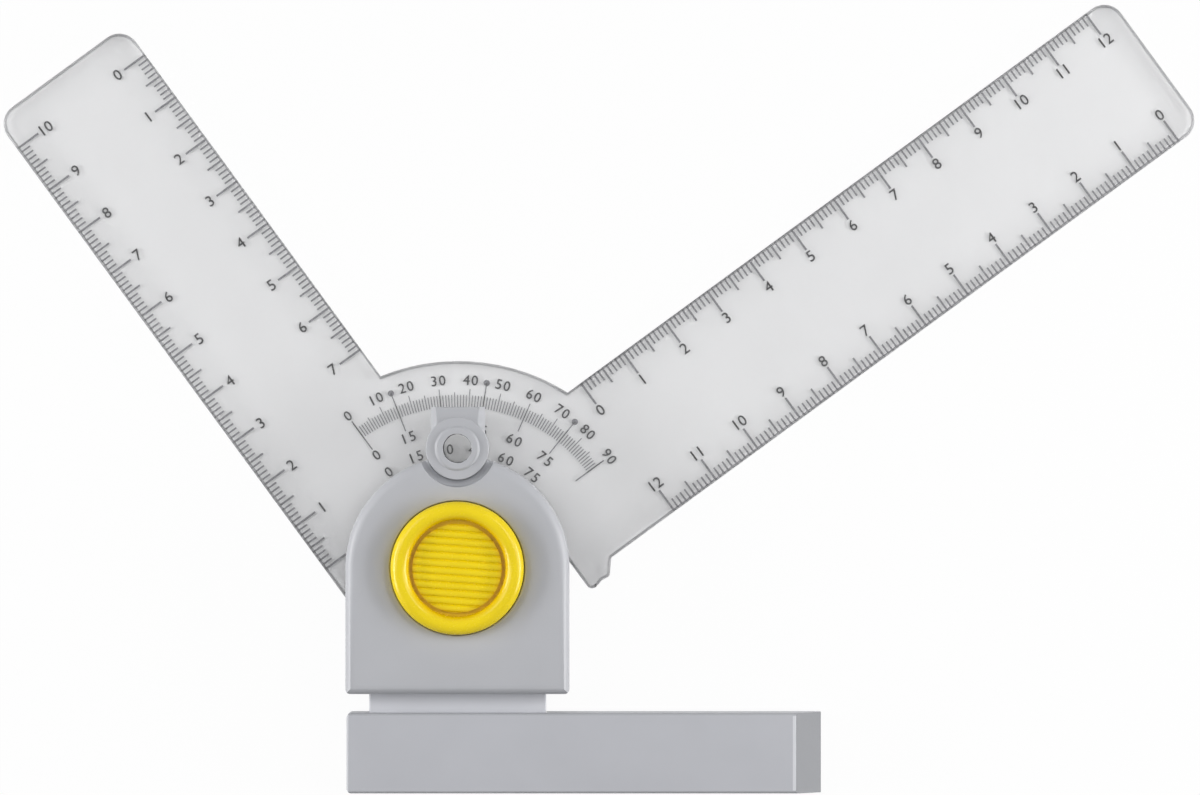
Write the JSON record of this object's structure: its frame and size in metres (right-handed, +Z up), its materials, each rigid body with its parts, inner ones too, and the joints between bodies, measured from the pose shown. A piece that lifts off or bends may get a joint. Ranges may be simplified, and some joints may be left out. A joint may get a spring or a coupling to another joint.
{
  "type": "adjustable set square",
  "caption": "Adjustable set square for a drawing board: a clear L-square with scales and a protractor turns in a push-button clamping head on a sliding guide bar.",
  "frame": {"origin": "on the pivot axis, on the board that the head's base disc rests on", "axes": "+X along the guide bar towards its ramped end, +Y from the guide bar to the pivot and on to the pointer, +Z up from the board"},
  "size_m": [0.2283, 0.1509, 0.0125],
  "materials": {
    "clear_plate": "clear, polished acrylic with printed scales",
    "cover_plastic": "light grey moulded plastic, fine satin",
    "pointer_plastic": "light grey moulded plastic, fine satin",
    "bar_plastic": "light grey moulded plastic, fine satin",
    "base_plastic": "light grey moulded plastic, satin",
    "button_plastic": "yellow moulded plastic, semi-gloss",
    "steel": "turned and stamped steel",
    "friction_lining": "brown friction lining",
    "glide_plastic": "white low-friction plastic"
  },
  "bodies": {
    "root": {"head_cover": "cover_plastic", "index_pointer": "pointer_plastic", "head_base": "base_plastic", "cover_screws": "steel", "pivot_journal": "steel", "base_disc": "base_plastic", "brake_ring": "friction_lining", "return_spring": "steel", "guide_bar": "bar_plastic", "bar_base": "base_plastic", "bar_screws": "steel", "glide_strips": "glide_plastic", "leaf_spring": "steel"},
    "square": {"set_square": "clear_plate", "hub_ring": "base_plastic", "hub_screws": "steel"},
    "button": {"push_button": "button_plastic", "pressure_plate": "steel", "pressure_liner": "friction_lining", "peg_screws": "steel"}
  },
  "joints": [
    {"name": "square_turn", "type": "hinge", "parent": "root", "child": "square", "pos_m": [0, 0, 0], "axis": [0, 0, 1], "range_deg": [-36.2, 53.8]},
    {"name": "button_press", "type": "slide", "parent": "root", "child": "button", "axis": [0, 0, 1], "range_m": [-0.001, 0], "stiffness_N_per_m": 1200, "springref_m": 0.002, "deforming": ["return_spring"]}
  ]
}
